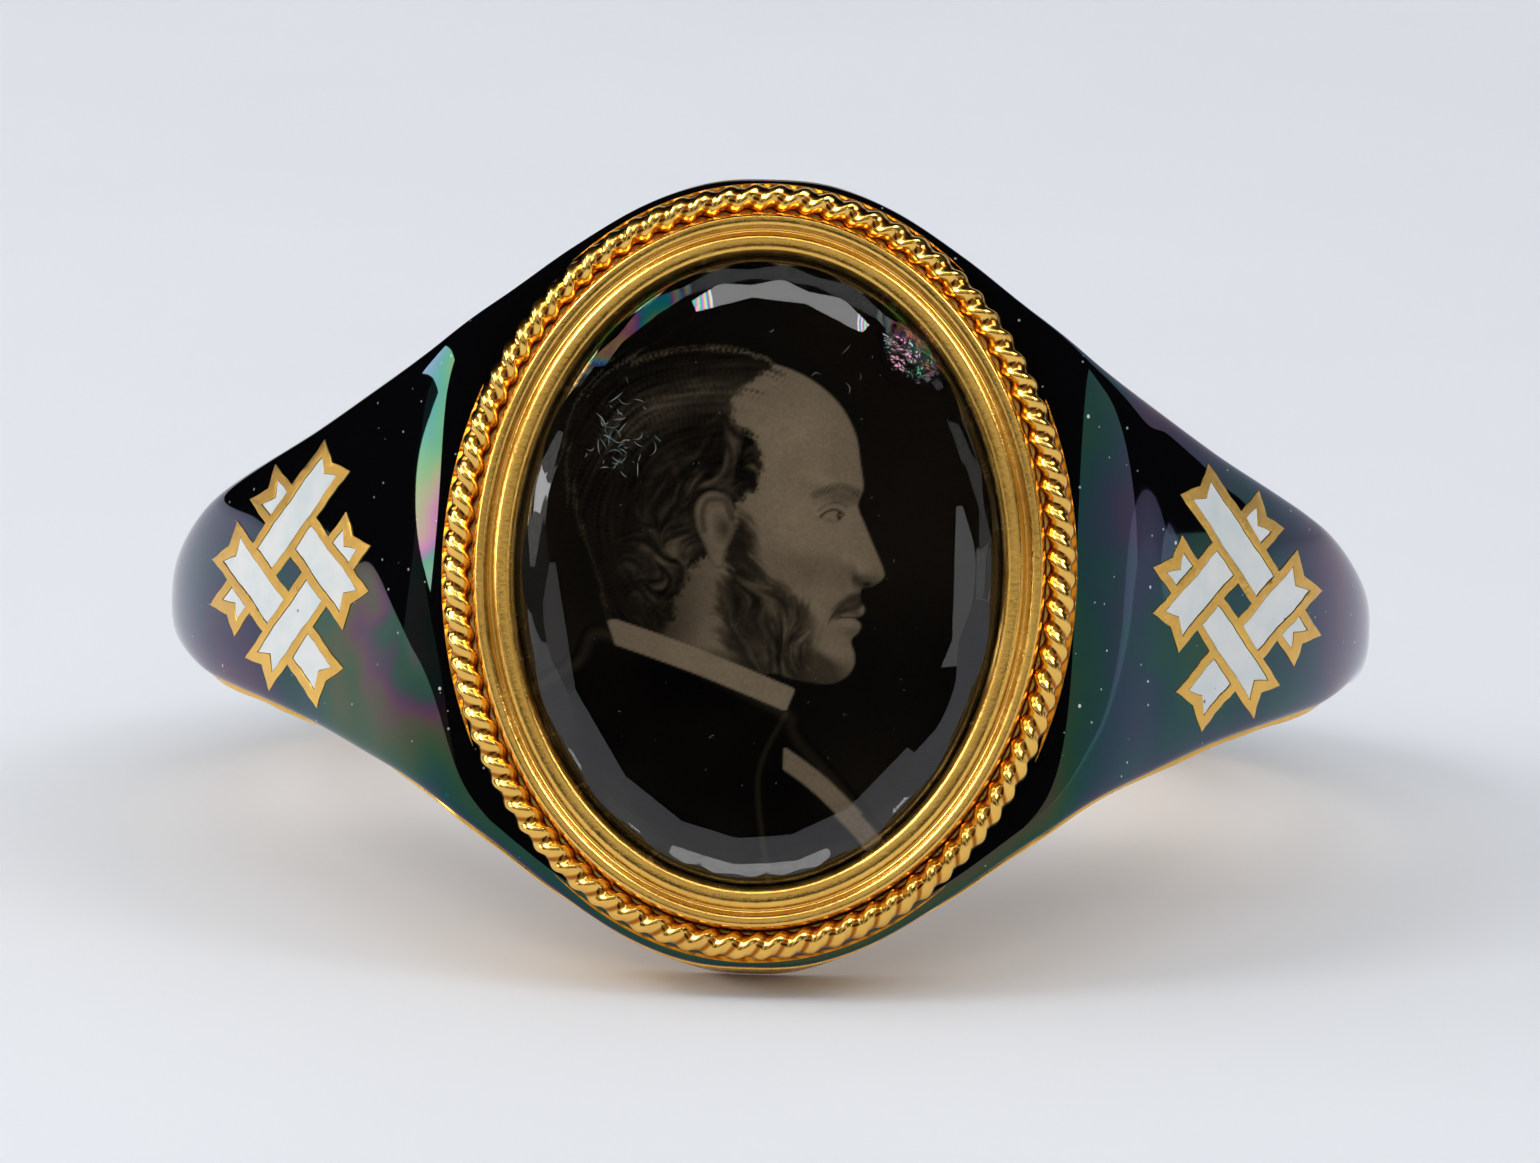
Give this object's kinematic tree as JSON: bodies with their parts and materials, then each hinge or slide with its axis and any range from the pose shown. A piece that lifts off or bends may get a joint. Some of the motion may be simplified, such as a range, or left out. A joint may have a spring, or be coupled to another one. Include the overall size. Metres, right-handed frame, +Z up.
{
  "type": "mourning ring",
  "caption": "Oval-fronted finger ring in gold and enamel, with a twisted wire border and a portrait under a faceted crystal.",
  "frame": {"origin": "centre of the floor footprint under the ring, which lies on its side", "axes": "X runs across the ring from its left to its right as seen from the front, Y points from the head to the hoop's back, Z is up"},
  "size_m": [0.0206, 0.0219, 0.0132],
  "materials": {
    "gold": "satin",
    "black_enamel": "gloss",
    "white_enamel": "gloss",
    "crystal": "polished",
    "portrait_print": "satin"
  },
  "bodies": {
    "root": {"hoop": "gold", "rope_border": "gold", "enamel": "black_enamel", "ribbons_left": "white_enamel", "ribbons_right": "white_enamel", "lozenge_left": "black_enamel", "lozenge_right": "black_enamel", "crystal": "crystal", "portrait": "portrait_print"}
  },
  "joints": []
}
